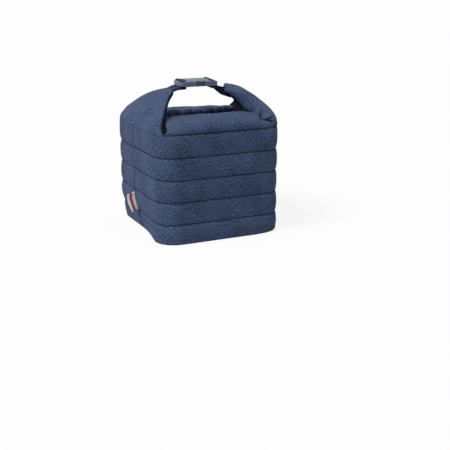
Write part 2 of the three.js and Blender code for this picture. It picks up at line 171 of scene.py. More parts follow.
sweep_mesh = bmesh.new()
bmesh.ops.create_grid(sweep_mesh, x_segments=1, y_segments=1, size=60)
bmesh.ops.translate(sweep_mesh, verts=sweep_mesh.verts, vec=(0, 0, -0.0003))
floor = finish_mesh("floor", sweep_mesh)
sweep = Finish("white sweep", roughness=0.9, specular=0.0)
rays = sweep.node("LightPath", {}, {})
camera_ray = Wire(sweep, rays.socket.node.outputs["Is Camera Ray"])
sweep.colour(sweep.mix(camera_ray, (0.6, 0.6, 0.6), (1, 1, 1)))
seen = camera_ray * 0.88
mirrored = Wire(sweep, rays.socket.node.outputs["Is Glossy Ray"])
refracted = Wire(sweep, rays.socket.node.outputs["Is Transmission Ray"])
glow = sweep.node("Emission", {}, {"Strength": 1.0})
lit = Wire(sweep, sweep.shader.outputs[0])
cover = sweep.node("MixShader", {}, {0: seen + mirrored + refracted, 1: lit, 2: glow})
sweep.tree.links.new(cover.socket, sweep.tree.nodes["Material Output"].inputs["Surface"])
floor.data.materials.append(sweep.material)

# The world gives the bag plain soft light, and is white where it is seen or mirrored
sky = bpy.data.worlds.new("studio")
sky.use_nodes = True
sky_nodes = sky.node_tree.nodes
ambient = sky_nodes["Background"]
ambient.inputs["Color"].default_value = (1, 1, 1, 1)
ambient.inputs["Strength"].default_value = 0.31
white = sky_nodes.new("ShaderNodeBackground")
white.inputs["Color"].default_value = (1, 1, 1, 1)
white.inputs["Strength"].default_value = 1.0
path = sky_nodes.new("ShaderNodeLightPath")
choice = sky_nodes.new("ShaderNodeMixShader")
both = sky_nodes.new("ShaderNodeMath")
sky.node_tree.links.new(path.outputs["Is Camera Ray"], both.inputs[0])
sky.node_tree.links.new(path.outputs["Is Glossy Ray"], both.inputs[1])
sky.node_tree.links.new(both.outputs[0], choice.inputs[0])
sky.node_tree.links.new(ambient.outputs[0], choice.inputs[1])
sky.node_tree.links.new(white.outputs[0], choice.inputs[2])
sky.node_tree.links.new(choice.outputs[0], sky_nodes["World Output"].inputs["Surface"])
bpy.context.scene.world = sky


key = bpy.data.lights.new("key", "SUN")
key.angle = math.radians(28)
key.energy = 2.3
key_holder = bpy.data.objects.new("key", key)
key_holder.rotation_mode = "QUATERNION"
key_holder.rotation_quaternion = Vector((-0.6, -0.1, 0.79)).to_track_quat("Z", "Y")
bpy.context.scene.collection.objects.link(key_holder)


# The base is a panel of the same cloth, with a thin moulded board and a slab of wadding on it,
# and the floor of the film lining on top. All four have the rounded outline of the bag's foot.
mm = 0.001
half_width = 90 * mm
half_depth = 93.5 * mm
corner = 25 * mm
left_press = 8.5 * mm
front_spread = 5.5 * mm
corner_slack = 3.2 * mm
foot_height = 46 * mm
straight_side = half_depth - corner
straight_front = half_width - corner
quarter = corner * math.pi / 2
girth = 4 * (straight_side + straight_front + quarter)


def outline(along, outside=0.0):
    """Point and outward direction on the body's rounded outline, along it from the middle of the
    left side towards the front"""
    runs = [
        (straight_side, (-1, 0), (-half_width, 0)),
        (2 * straight_front, (0, -1), (-straight_front, -half_depth)),
        (2 * straight_side, (1, 0), (half_width, -straight_side)),
        (2 * straight_front, (0, 1), (straight_front, half_depth)),
        (straight_side, (-1, 0), (-half_width, straight_side)),
    ]
    rest = along % girth
    for i, (length, facing, start) in enumerate(runs):
        normal = Vector((*facing, 0))
        onwards = Vector((-facing[1], facing[0], 0))
        if rest <= length or i == len(runs) - 1:
            return Vector((*start, 0)) + onwards * rest + normal * outside, normal
        rest -= length
        if rest <= quarter:
            turn = rest / corner
            middle = Vector((*start, 0)) + onwards * length - normal * corner
            leaning = normal * math.cos(turn) + onwards * math.sin(turn)
            return middle + leaning * (corner + outside), leaning
        rest -= quarter


def ease(low, high, value):
    share = min(1.0, max(0.0, (value - low) / (high - low)))
    return share * share * (3 - 2 * share)


def ripple(point, pitch):
    """Smooth noise from -1 to 1 with features of that pitch"""
    return noise.noise(Vector(point) / pitch)


def beside(along):
    """How far a place on the wall lies on a left or right side: 0 on the front and back and at
    the corners, 1 on the sides"""
    around = (along % (girth / 2)) / (girth / 2)
    from_middle = min(around, 1 - around) * girth / 2
    return 1 - ease(straight_side + 4 * mm, straight_side + 30 * mm, from_middle)


def settled(along, outside, height):
    """Point on the body as it stands, and the outward direction. Near the floor the left side is
    pressed in and the front stands out. The back left corner is a little slack all the way up."""
    point, facing_out = outline(along, outside)
    ahead = (along + girth / 2) % girth - girth / 2
    foot = (left_press + front_spread) * ease(0.0, 118 * mm, ahead) - left_press
    foot *= ease(-210 * mm, -110 * mm, ahead) * (1 - ease(215 * mm, 265 * mm, ahead))
    slack = -corner_slack * ease(-165 * mm, -100 * mm, ahead) * (1 - ease(-78 * mm, -15 * mm, ahead))
    point += facing_out * (slack + (foot - slack) * (1 - ease(0.0, foot_height, height)))
    point.z = height
    return point, facing_out


def dress(piece, finish, slot, *nodes):
    piece.data.materials.clear()
    piece.data.materials.append(finish.material)
    if nodes:
        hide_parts(*nodes)


# The heathered cloth is a plain weave of navy and pale blue yarns, with pale slubs along the warp.
# Its map is in metres, and shade is painted into its seams, creases and folds.
yarn_pitch = 1.2 * mm


def heathered(name, dark, pale):
    cloth = Finish(name, roughness=0.92, sheen=0.03, specular=0.12)
    slubs = cloth.noise(cloth.threads((1150, 380, 1)), 1.0, 3.0, 0.6)
    weft = cloth.noise(cloth.threads((480, 1400, 1)), 1.0, 2.0, 0.5)
    grain = cloth.noise(cloth.threads((2100, 2100, 1)), 1.0, 1.0, 0.5)
    clouds = cloth.noise(cloth.threads((34, 22, 1)), 1.0, 2.0, 0.5)
    pattern = slubs * 0.65 + weft * 0.3 + grain * 0.3 + clouds * 0.1
    mottled = cloth.mix(pattern.between(0.59, 0.77), dark, pale)
    # Painted shade: the crease attribute mixes the mottled cloth towards a far darker navy.
    crease_shade = cloth.node("Attribute", {"attribute_name": "crease_shade"}, {}, output=2)
    deep = tuple(value * 0.16 for value in dark)
    cloth.colour(cloth.mix(crease_shade, mottled, deep))
    turns = 2 * math.pi / yarn_pitch
    yarns = cloth.threads((turns, turns, 1))
    knots = cloth.split(yarns, 0).sine() * cloth.split(yarns, 1).sine() * 0.5
    cloth.relief(knots + slubs * 0.8 + grain * 0.5, 0.14 * mm)
    return cloth


denim_dark = (0.010, 0.023, 0.070)
denim_pale = (0.122, 0.172, 0.296)
denim = heathered("heathered cloth", denim_dark, denim_pale)


def round_plate(name, outside, bottom, thickness, edge):
    """A plate with the body's rounded outline"""
    bm = bmesh.new()
    segments = 96
    made = bmesh.ops.create_circle(bm, cap_ends=True, segments=segments, radius=1.0)
    for i, v in enumerate(made["verts"]):
        v.co, _ = settled(girth * i / segments, outside, bottom)
    lifted = bmesh.ops.extrude_face_region(bm, geom=list(bm.faces))
    top = [v for v in lifted["geom"] if isinstance(v, bmesh.types.BMVert)]
    bmesh.ops.translate(bm, verts=top, vec=(0, 0, thickness))
    edges = [e for e in bm.edges if abs(e.verts[0].co.z - e.verts[1].co.z) < 1e-7]
    bmesh.ops.bevel(
        bm, geom=edges, offset=edge, affect="EDGES", segments=2, profile=0.5, material=-1,
        offset_type="OFFSET", clamp_overlap=True,
    )
    bmesh.ops.recalc_face_normals(bm, faces=bm.faces)
    weave = bm.loops.layers.uv.new("weave")
    for face in bm.faces:
        for loop in face.loops:
            loop[weave].uv = (loop.vert.co.x, loop.vert.co.y)
    return finish_mesh(name, bm, smooth=False)


base = round_plate("base_cloth", outside=1.3 * mm, bottom=0, thickness=1.5 * mm, edge=0.4 * mm)
dress(base, denim, "base_cloth", "base_panel")
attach(base, "bag")

board_finish = Finish("moulded board", roughness=0.6)
board_grain = board_finish.noise(board_finish.place((240, 240, 240)), 1.0, 3.0)
board_finish.colour(board_finish.mix(board_grain, (0.62, 0.62, 0.6), (0.74, 0.74, 0.72)))
board_finish.relief(board_finish.noise(board_finish.place((900, 900, 900))), 0.2 * mm)
board = round_plate(
    "stiffening_board", outside=-6.7 * mm, bottom=1.7 * mm, thickness=2 * mm, edge=0.5 * mm
)
dress(board, board_finish, "base_board", "base_board")
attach(board, "bag")

fleece = Finish("white wadding", roughness=1.0, sheen=0.4)
fibres = fleece.noise(fleece.place((700, 700, 700)), 1.0, 4.0, 0.7)
fleece.colour(fleece.mix(fibres, (0.62, 0.61, 0.58), (0.86, 0.85, 0.82)))
fleece.relief(fibres, 0.8 * mm)
base_fill = round_plate(
    "base_fleece", outside=-6.7 * mm, bottom=4 * mm, thickness=4 * mm, edge=1.2 * mm
)
dress(base_fill, fleece, "wadding", "base_wadding")
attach(base_fill, "bag")

film = Finish("silver film", roughness=0.34, metallic=0.75)
crumple = film.noise(film.place((90, 90, 90)), 1.0, 4.0, 0.6)
film.colour(film.mix(crumple, (0.50, 0.51, 0.53), (0.66, 0.67, 0.69)))
film.rough(crumple * 0.3 + 0.25)
film.relief(crumple, 1.6 * mm)
lining_floor = round_plate(
    "film_floor", outside=-8 * mm, bottom=8.35 * mm, thickness=0.75 * mm, edge=0.25 * mm
)
dress(lining_floor, film, "cooler_film", "lining_floor")
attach(lining_floor, "bag")


# The wall is one padded wrap of the heathered cloth, quilted by level seams into five channels
# and joined by an upright seam down the middle of the left side.
wall_bottom = 1.7 * mm
fold_height = 147.2 * mm
channel_pitch = 30.3 * mm
channel_count = 5
cloth_thickness = 1.4 * mm
quilt_bulge = 2.9 * mm
gather_pitch = 3.6 * mm
gather_reach = 4 * mm
crease_depth = 0.8 * mm
seams = [wall_bottom] + [fold_height - channel_pitch * i for i in range(channel_count - 1, -1, -1)]
rows_of_channel = (0, 0.012, 0.03, 0.06, 0.11, 0.19, 0.31, 0.45, 0.6, 0.74, 0.85, 0.92, 0.96, 0.985)


def thicken(piece, thickness, offset=-1):
    solid = piece.modifiers.new("thickness", "SOLIDIFY")
    solid.thickness = thickness
    solid.offset = offset


def lay(name, columns, rows, rule, closed=False):
    """A cloth laid by a rule that turns a share across and a share along into a point, its place
    on the flat cloth in metres, and how much painted shade it takes in a crease"""
    bm = bmesh.new()
    bmesh.ops.create_grid(bm, x_segments=columns, y_segments=rows, size=0.5)
    weave = bm.loops.layers.uv.new("weave")
    crease_shade = bm.verts.layers.float.new("crease_shade")
    laid = {v: rule(v.co.x + 0.5, v.co.y + 0.5) for v in bm.verts}
    for face in bm.faces:
        for loop in face.loops:
            loop[weave].uv = laid[loop.vert][1]
    for v, (point, _, shade) in laid.items():
        v.co = point
        v[crease_shade] = shade
    if closed:
        bmesh.ops.remove_doubles(bm, verts=bm.verts, dist=1e-6)
    return finish_mesh(name, bm)


def quilted(along, height, line, share):
    """How far the padded cloth stands out of its seams, and how much painted shade it takes in a crease"""
    swell = math.sin(math.pi * share) ** 0.42
    near = min(share, 1 - share) * channel_pitch
    pinch = math.exp(-((near / (0.6 * mm)) ** 2))
    if line == channel_count - 1 and share > 0.5:
        open_seam = beside(along)
        swell += (1 - swell) * open_seam * 0.85
        pinch *= 0.8 - 0.75 * open_seam
    if share < 0.5 and line == 0:
        swell = max(swell, 0.7)
        pinch = 0
    drift = 1 + 0.12 * ripple((along, height, 0.3), 50 * mm)
    pucker = ripple((along, height * 0.3, 0.9), gather_pitch)
    gathers = 0.3 * mm * math.exp(-near / gather_reach) * pucker * min(1.0, near / (1.2 * mm))
    dents = 0.5 * mm * ripple((along * 0.6, height, 2.1), 24 * mm) * math.sin(math.pi * share)
    out = quilt_bulge * swell * drift + gathers + dents
    return out - crease_depth * pinch, pinch * 0.7


def upright_seam(height):
    """How far behind the middle of the left side the upright seam wanders"""
    return (1 + 5.5 * ease(24 * mm, 52 * mm, height) - 3 * ease(58 * mm, 92 * mm, height)) * mm


def wall_rule(across, up):
    row = round(up * channel_count * len(rows_of_channel))
    line = min(row // len(rows_of_channel), channel_count - 1)
    step = row - line * len(rows_of_channel)
    share = rows_of_channel[step] if step < len(rows_of_channel) else 1.0
    height = seams[line] + share * (seams[line + 1] - seams[line])
    from_seam = min(across, 1 - across) * girth
    along = across * girth - upright_seam(height)
    out, crease_shade = quilted(along, height, line, share)
    upright = math.exp(-((from_seam / (1.3 * mm)) ** 2))
    point, _ = settled(along, out - 1.0 * mm * upright, height)
    # The upright seam gets painted shade, as the level seams do
    return point, (along, height), max(crease_shade, 0.4 * upright)


wall = lay("quilted_wall", 320, len(rows_of_channel) * channel_count, wall_rule, closed=True)
thicken(wall, cloth_thickness)
dress(wall, denim, "quilted_cloth", "outer_wall")
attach(wall, "bag")


# The quilting thread is navy. Its short stitches, each a small bead, sink into the level seams,
# and the open top of the left and right sides has none.
stitch_pitch = 4.2 * mm
stitch_length = 2.5 * mm
stitch_width = 0.8 * mm
stitch_sink = 0.5 * mm
thread = Finish("navy thread", roughness=0.7, sheen=0.1)
ply = thread.noise(thread.place((2400, 2400, 2400)), 1.0, 1.0)
thread.colour(thread.mix(ply, (0.010, 0.014, 0.030), (0.035, 0.048, 0.085)))

bead = bmesh.new()
bmesh.ops.create_uvsphere(bead, u_segments=6, v_segments=4, radius=0.5)
bead_points = [v.co.copy() for v in bead.verts]
bead_faces = [[v.index for v in face.verts] for face in bead.faces]
bead.free()


def sew(bm, point, onwards, outwards):
    """One stitch, as a short bead along the seam"""
    ahead = onwards * stitch_length
    out = outwards * stitch_width
    sideways = onwards.cross(outwards) * stitch_width
    placed = [bm.verts.new(point + ahead * p.z + out * p.x + sideways * p.y) for p in bead_points]
    for face in bead_faces:
        bm.faces.new([placed[i] for i in face])


stitches = bmesh.new()
for line, height in enumerate(seams[1:], 1):
    count = round(girth / stitch_pitch)
    for i in range(count):
        along = girth * (i + 0.5) / count
        if line == channel_count and beside(along) > 0.3:
            continue
        point, facing_out = settled(along, -stitch_sink, height)
        point.z += 0.1 * mm * math.sin(i * 2.4)
        sew(stitches, point, Vector((-facing_out.y, facing_out.x, 0)), facing_out)
wall_stitches = finish_mesh("wall_stitches", stitches)
dress(wall_stitches, thread, "quilted_cloth")
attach(wall_stitches, "bag")


# Behind the wall cloth are the foam wadding and the film lining of the compartment. Both follow the
# wall's outline up to the fold of the collar, and the film is pulled nearly smooth over the foam.
inner_top = 146.6 * mm


def inner_rule(outside, bottom, top, depth):
    def rule(across, up):
        along = across * girth
        height = bottom + up * (top - bottom)
        wave = depth * ripple((along, height, 3.3), 14 * mm)
        point, _ = settled(along, outside + wave, height)
        return point, (along * (1 + 2 * math.pi * outside / girth), height), 0.0
    return rule


def declare_cut(piece, held, *rests_on):
    """Works out the extent and the area of a sheet's flat map; nothing keeps them"""
    uv = [tuple(loop.uv) for loop in piece.data.uv_layers["weave"].data]
    width, length = (max(p[k] for p in uv) - min(p[k] for p in uv) for k in (0, 1))
    area = 0.0
    for face in piece.data.polygons:
        ring = [uv[i] for i in face.loop_indices]
        turned = ring[1:] + ring[:1]
        area += abs(sum(a[0] * b[1] - a[1] * b[0] for a, b in zip(ring, turned))) / 2
    min(area, width * length)


rule = inner_rule(-1.75 * mm, 1.9 * mm, inner_top, depth=0.05 * mm)
wall_fill = lay("wall_fleece", 200, 36, rule, closed=True)
thicken(wall_fill, 4.9 * mm)
dress(wall_fill, fleece, "wadding", "wall_wadding")
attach(wall_fill, "bag")

rule = inner_rule(-7.05 * mm, 2.2 * mm, inner_top, depth=0.25 * mm)
wall_film = lay("wall_film", 240, 70, rule, closed=True)
thicken(wall_film, 0.5 * mm)
dress(wall_film, film, "cooler_film", "wall_lining")
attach(wall_film, "bag")
declare_cut(wall_film, "stretched", "wall_fleece")


# The side label is a folded tape of white cotton, caught in the upright seam. A plain red band
# runs down it, and it swings a little to the front at the bottom.
label_height = 25 * mm
label_reach = 12 * mm
label_bottom = 28 * mm
tape = Finish("white tape", roughness=0.85, sheen=0.1)
ribs = tape.split(tape.threads((1800, 1800, 1)), 1).sine() * 0.5 + 0.5
tape_grain = tape.noise(tape.threads((900, 900, 1)))
across_tape = tape.split(tape.threads(), 0)
band_mask = across_tape.between(4.6 * mm, 4.9 * mm) * (1 - across_tape.between(8.3 * mm, 8.6 * mm))
cotton = tape.mix(tape_grain, (0.86, 0.85, 0.85), (0.98, 0.97, 0.97))
tape.colour(tape.mix(band_mask, cotton, (0.42, 0.045, 0.05)))
tape.relief(ribs * 0.5 + tape_grain, 0.12 * mm)


def label_rule(across, up):
    reach = across * label_reach
    height = label_bottom + up * label_height
    swing = math.radians(4 + 18 * (1 - up)) * across ** 0.6
    sewn = settled(-upright_seam(height), quilt_bulge * 0.7, height)[0]
    curl = 0.5 * mm * math.sin(up * 5.0 + across * 1.5) * across
    x = sewn.x - reach * math.cos(swing) + curl
    y = sewn.y - reach * math.sin(swing)
    return Vector((x, y, height - 3.2 * mm * across ** 1.5)), (reach, up * label_height), 0.0


label = lay("side_tape", 14, 20, label_rule)
thicken(label, 0.55 * mm)
dress(label, tape, "label_tape", "side_label")
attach(label, "bag")
declare_cut(label, "hung", "quilted_wall")


# The collar. Its front and back fold in as flaps, and its two sides are drawn up as wings. Each is
# heathered cloth outside, wadding, and a dark facing that comes round the hem.
front_reach = straight_front + quarter / 2
side_reach = straight_side + quarter / 2
run_steps = 60


def through(points, share):
    """A smooth curve through points, by share of its stations"""
    spans = len(points) - 1
    place = min(max(share, 0.0) * spans, spans - 1e-9)
    i = int(place)
    t = place - i
    a, b, c, d = (Vector(points[min(max(i + k, 0), spans)]) for k in (-1, 0, 1, 2))
    return 0.5 * (
        2 * b + (c - a) * t + (2 * a - 5 * b + 4 * c - d) * t * t + (3 * b - a - 3 * c + d) * t ** 3
    )


class Band:
    """One side of the collar in its own frame: inward from the wall, across, and up, in mm.
    The edges start on the rounded corner and the middle starts at the wall's top seam."""

    def __init__(self, start, reach, place, middle, edges, half_at, pillow=0.0, tip=0.0):
        self.start = start
        self.reach = reach
        self.place = place
        self.middle = middle
        self.edges = edges
        self.half_at = half_at
        self.pillow = pillow
        self.tip = tip
        self.runs = [0.0]
        for i in range(run_steps):
            span = through(middle, (i + 1) / run_steps) - through(middle, i / run_steps)
            self.runs.append(self.runs[-1] + span.length * mm)

    def half(self, t):
        return (self.half_at[0] + (self.half_at[1] - self.half_at[0]) * t) * mm

    def run(self, t):
        """Length of cloth from the wall's top seam"""
        i = min(int(t * run_steps), run_steps - 1)
        return self.runs[i] + (self.runs[i + 1] - self.runs[i]) * (t * run_steps - i)

    def local(self, q, t):
        """Inward, across and up. q is -1 to 1 across, t is 0 to 1 from the wall to the hem."""
        lean = abs(q)
        edges = self.edges[q > 0]
        edge = through(edges, t)
        inward, up = through(self.middle, t)
        origin = self.place(0, 0, 0)
        base = settled(self.start + q * self.reach, 0, fold_height)[0] - origin
        base_in = base.dot(self.place(1, 0, 0) - origin) / mm ** 2
        base_across = base.dot(self.place(0, 1, 0) - origin) / mm ** 2
        on_wall = 1 - ease(0.0, 0.45, t)
        bow = on_wall * base_in / edges[0][0] + (1 - on_wall) * lean ** 2.4
        spread = on_wall * base_across / edges[0][1] + (1 - on_wall) * lean
        a = inward + (edge[0] - inward) * bow
        c = edge[1] * spread
        z = up + (edge[2] - up) * bow
        if self.pillow:
            rim = max(0.0, (lean - 0.88) / 0.12)
            z -= self.pillow * ease(0.0, 0.3, t) * (1 - math.sqrt(max(0.0, 1 - rim * rim)))
        a += self.tip * q * ease(0.6, 1.0, t)
        return a, c, z

    def skin(self, q, t):
        return self.place(*self.local(q, t))

    def flat(self, q, t, beyond=0.0):
        """Place on the flat cloth"""
        on_wall = 1 - ease(0.0, 0.35, t)
        across = on_wall * q * self.reach + (1 - on_wall) * self.local(q, t)[1] * mm
        return self.start + across, fold_height + self.run(t) + beyond

    def axes(self, q, t):
        """Point, direction across, direction towards the hem, and outward normal"""
        step = 0.004
        q0, q1 = max(-1, q - step), min(1, q + step)
        t0, t1 = max(0, t - step), min(1, t + step)
        across = (self.skin(q1, t) - self.skin(q0, t)).normalized()
        onwards = (self.skin(q, t1) - self.skin(q, t0)).normalized()
        return self.skin(q, t), across, onwards, across.cross(onwards).normalized()

    def around(self, q, t, turn=0.0, depth=0.0):
        """A point at a depth under the skin, or turned round the hem"""
        point, _, onwards, normal = self.axes(q, t)
        half = self.half(t)
        reach = half - depth
        return point - normal * (half - reach * math.cos(turn)) + onwards * reach * math.sin(turn)


# Short folds pressed into the cloth at the collar's front corners: start, end, depth and width, mm
corner_folds = [
    ((75, -57, 160), (63, -84, 156.5), 2.2, 2.6), ((73, -64, 159), (69, -84, 157.5), 1.5, 1.8),
    ((67, -83, 158), (84, -79, 159.5), 2.2, 2.4), ((75, -86, 155), (83, -90, 148.5), 1.8, 1.8),
    ((58, -88, 150), (84, -88, 149), 1.2, 1.6), ((62, -52, 163), (68, -66, 159), 1.6, 2.0),
    ((-70, -82, 154), (-78, -84, 148), 1.6, 1.6), ((-64, -76, 158), (-72, -80, 153), 1.4, 1.8),
]


def pressed(point):
    """How deep the corner folds press a point in, in metres, and how much painted shade they lay on it"""
    depth = shade = 0.0
    for start, end, deepest, width in corner_folds:
        start, run = Vector(start), Vector(end) - Vector(start)
        share = min(1.0, max(0.0, (point / mm - start).dot(run) / run.length_squared))
        away = point / mm - start - run * share
        away.z *= 0.3
        near = math.exp(-(away.length_squared / width ** 2)) * math.sin(math.pi * (0.12 + 0.76 * share))
        depth += deepest * near * mm
        shade = max(shade, min(1.0, near * deepest / 1.9))
    return depth, shade


def collar_rule(band, stations, depth=0.0, width=1.0, dent=0.0, seed=0.0, scallop=0.0):
    """stations are (t, turn) pairs from the wall to the hem. A cover is dented, creased and
    gathered too, and its hem is scalloped."""
    def rule(across, up):
        q = (across * 2 - 1) * width
        t, turn = stations[round(up * (len(stations) - 1))]
        point = band.around(q, t, turn, depth)
        flat = band.flat(q, t, turn * band.half(1))
        if not dent:
            return point, flat, 0.0
        near = band.run(t)
        normal = band.axes(q, t)[3]
        point += normal * scallop * ease(0.88, 1.0, t) * ripple((flat[0], 0.5, seed), 5.8 * mm)
        deep, shade = pressed(point)
        point -= normal * deep
        pinch = max(math.exp(-((near / (0.8 * mm)) ** 2)), shade)
        soft = ripple((flat[0] * 0.8, flat[1] * 1.2, seed), 21 * mm)
        soft += 0.5 * ripple((flat[0] * 2, flat[1], seed), 17 * mm)
        rim = ease(0.0, 0.12, t) * (1 - ease(0.9, 1.0, abs(q)))
        pucker = ripple((flat[0], 0.2, seed), gather_pitch)
        gathers = 0.35 * mm * math.exp(-near / gather_reach) * pucker * min(1.0, near / mm)
        sunk = 0.9 * mm * pinch
        point += normal * (dent * soft * rim + gathers - sunk)
        # The seam's pinch and the corner folds give painted shade
        return point, flat, pinch * 0.85
    return rule


def cover_stations(hem_turn):
    """Stations that lie close together at the fold and end in a turn round the hem"""
    stations = [(0.0, 0.0), (0.008, 0.0), (0.02, 0.0)]
    stations += [(0.035 + 0.965 * i / 26, 0.0) for i in range(27)]
    return stations + [(1.0, hem_turn * i / 6) for i in range(1, 7)]


front_flap = Band(
    side_reach + front_reach, front_reach,
    lambda a, c, z: Vector((c * mm, -half_depth + a * mm, z * mm)),
    [(0, 147.2), (-1.6, 152), (0.5, 157.6), (8, 161.8), (22, 164), (45, 164.3), (67, 162.6)],
    {
        False: [
            (7.3, -82.7, 147.2), (5.6, -81, 151), (6, -79, 154), (12, -76, 157), (25, -72, 160),
            (45, -67, 162), (66, -63, 162.8),
        ],
        True: [
            (7.3, 82.7, 147.2), (5.6, 82, 151), (6, 81, 154), (12, 79, 157), (25, 78, 160),
            (45, 76, 162.2), (66, 73, 163),
        ],
    },
    (5.2, 4.5), pillow=4,
)
back_flap = Band(
    3 * side_reach + 3 * front_reach, front_reach,
    lambda a, c, z: Vector((-c * mm, half_depth - a * mm, z * mm)),
    [(0, 147.2), (-1.6, 151), (0.5, 155), (8, 157.4), (22, 158.6), (45, 160.4), (67, 162.6)],
    {
        False: [
            (7.3, -82.7, 147.2), (5.6, -81.5, 150.5), (6, -80, 153), (12, -78, 155), (25, -76, 157),
            (45, -75, 160.5), (66, -75, 164),
        ],
        True: [
            (7.3, 82.7, 147.2), (5.6, 81, 150.5), (6, 78.5, 153), (12, 75, 154), (25, 71, 155),
            (45, 69, 155), (66, 67, 157),
        ],
    },
    (5.2, 4.8), pillow=2,
)

# The facing is coloured lighter than the cloth is, as painted light where it hangs in shade, and the
# blotches along its gathers are painted shade.
facing = Finish("dark facing", roughness=0.7, sheen=0.02, specular=0.2)
facing_threads = facing.noise(facing.threads((1100, 1100, 1)), 1.0, 2.0)
facing_folds = facing.noise(facing.threads((160, 40, 1)), 1.0, 3.0)
shadowing = facing_threads * 0.5 + facing_folds * 0.5
facing.colour(facing.mix(
    shadowing.between(0.38, 0.66), (0.028, 0.036, 0.115), (0.175, 0.230, 0.470)
))
facing.relief(facing_threads * 0.3 + facing_folds, 0.6 * mm)

# A darker copy of the facing, as painted shade, for the hems, the wing facings and the tongue that lie in
# shadow
shaded_facing = Finish("shaded hem", roughness=0.8, specular=0.1)
hem_threads = shaded_facing.noise(shaded_facing.threads((420, 260, 1)), 1.0, 3.0)
shaded_facing.colour(shaded_facing.mix(
    hem_threads.between(0.5, 0.72), (0.006, 0.008, 0.022), (0.040, 0.050, 0.095)
))
shaded_facing.relief(hem_threads, 0.6 * mm)


def facing_rule(band, stations, width, frill, sag=0.0):
    """The facing lies under the wadding, gathered at the hem, where it may sag"""
    def rule(across, up):
        q = (across * 2 - 1) * width
        t, turn = stations[round(up * (len(stations) - 1))]
        point = band.around(q, t, turn, 0.3 * mm)
        flat = band.flat(q, t, (math.pi - turn) * band.half(1))
        gather = ease(0.8, 1.0, t) * ripple((flat[0], flat[1] * 0.2, 5.0), 6 * mm)
        _, _, onwards, normal = band.axes(q, t)
        slack = sag * math.sin(math.pi * ease(0.5, 1.12, t)) * (turn > 3) * (1 - ease(0.7, 1.0, abs(q)))
        slack *= 1 + 0.16 * ripple((flat[0], 0.1, 6.0), 5 * mm)
        return point + onwards * frill * gather - normal * slack, (flat[0] * 0.94, flat[1]), 0.0
    return rule


for side, flap, sense, hem_turn, scallop, sag in (
    ("front", front_flap, -1, 1.3, 0.35 * mm, 0.0),
    ("back", back_flap, 1, 0.5, 0.8 * mm, 9 * mm),
):
    start = (0, sense * half_depth, 148 * mm)
    end = (0, sense * 80 * mm, 158 * mm)
    rows = cover_stations(hem_turn)
    rule = collar_rule(flap, rows, dent=0.9 * mm, seed=sense * 3.7, scallop=scallop)
    cloth = lay(f"{side}_flap_cover", 120, len(rows) - 1, rule)
    thicken(cloth, cloth_thickness)
    dress(cloth, denim, "quilted_cloth", f"{side}_flap_cloth")
    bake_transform(cloth)

    rows = [(0.02 + 0.96 * i / 16, 0.0) for i in range(17)]
    fill = lay(f"{side}_flap_fleece", 60, 16, collar_rule(flap, rows, depth=2.3 * mm, width=0.78))
    thicken(fill, 5.6 * mm)
    dress(fill, fleece, "wadding", f"{side}_flap_wadding")
    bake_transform(fill)

    rows = [(0.04 + 0.96 * i / 22, math.pi) for i in range(23)]
    rows += [(1.0, math.pi - (math.pi - hem_turn + 0.1) * i / 8) for i in range(1, 9)]
    rule = facing_rule(flap, rows, 0.97, 0.5 * mm, sag)
    skin = lay(f"{side}_flap_facing", 110, len(rows) - 1, rule)
    thicken(skin, 0.6 * mm)
    dress(skin, facing, "facing_cloth", f"{side}_flap_lining")
    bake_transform(skin)
    declare_cut(skin, "folded", f"{side}_flap_fleece")


# The wings are drawn in to the buckle, so that each narrows to a bunched tip. Their slanting edges
# roll under, and the corner cloth, the gusset, lies folded beneath the roll.
left_band = Band(
    0.0, side_reach,
    lambda a, c, z: Vector((-half_width + a * mm, -c * mm, z * mm)),
    [(0, 147.2), (0.3, 155), (3.6, 162.3), (9.5, 169.6), (19.6, 180), (32.5, 189.7), (49.5, 197.4)],
    {
        True: [
            (7.3, 86.2, 147.2), (6, 81, 154), (10.2, 70, 161.3), (17, 58.5, 168.5),
            (26.6, 43.5, 179), (36.5, 30, 188.2), (48, 17, 195),
        ],
        False: [
            (7.3, -86.2, 147.2), (7, -85, 154.5), (12, -77.5, 163), (18, -68, 170.5),
            (27, -51, 181.5), (39, -36, 190), (54, -19.5, 195.5),
        ],
    },
    (5.2, 3.3),
)
right_band = Band(
    2 * side_reach + 2 * front_reach, side_reach,
    lambda a, c, z: Vector((half_width - a * mm, c * mm, z * mm)),
    [(0, 147.2), (-2.2, 153.5), (-2.4, 161.5), (0, 172.6), (7.7, 184.7), (21.8, 195.4), (41, 200.2)],
    {
        False: [
            (7.3, -86.2, 147.2), (2, -82, 153.5), (0.2, -74, 161), (3.2, -62, 170.8),
            (12, -45.5, 182.2), (26, -29.5, 191.2), (46, -14.5, 194),
        ],
        True: [
            (7.3, 86.2, 147.2), (3, 78, 153), (0.6, 60, 161), (2, 44, 171),
            (9, 31, 182.5), (23, 21, 191.5), (40, 13, 195),
        ],
    },
    (5.2, 3.3), tip=-4,
)

# Side view of the rolled edge, outwards and down from the cover's edge, then back beneath it
left_fold = [(0, 0), (0.8, 0.9), (0.6, 3), (-1.2, 5.6), (-4.6, 8), (-9, 9.6), (-15, 10.6), (-21, 11)]
right_fold = [(0, 0), (3.4, 1), (5.6, 4.4), (6.2, 8.8), (5, 13), (1.6, 15.8), (-4, 16.8), (-12, 16)]
hem_fold = [(1.6, 15.8), (0.6, 18.6), (-1.2, 21), (-4, 22.6), (-8, 22), (-14, 19)]


def fold_scale(t, belly):
    middle = ease(0.0, 0.3, t) * (1 - ease(0.72, 0.98, t))
    return 0.16 + 0.84 * ease(0.0, 0.36, t) + belly * middle - (0.34 + 0.7 * belly) * ease(0.82, 1.0, t)


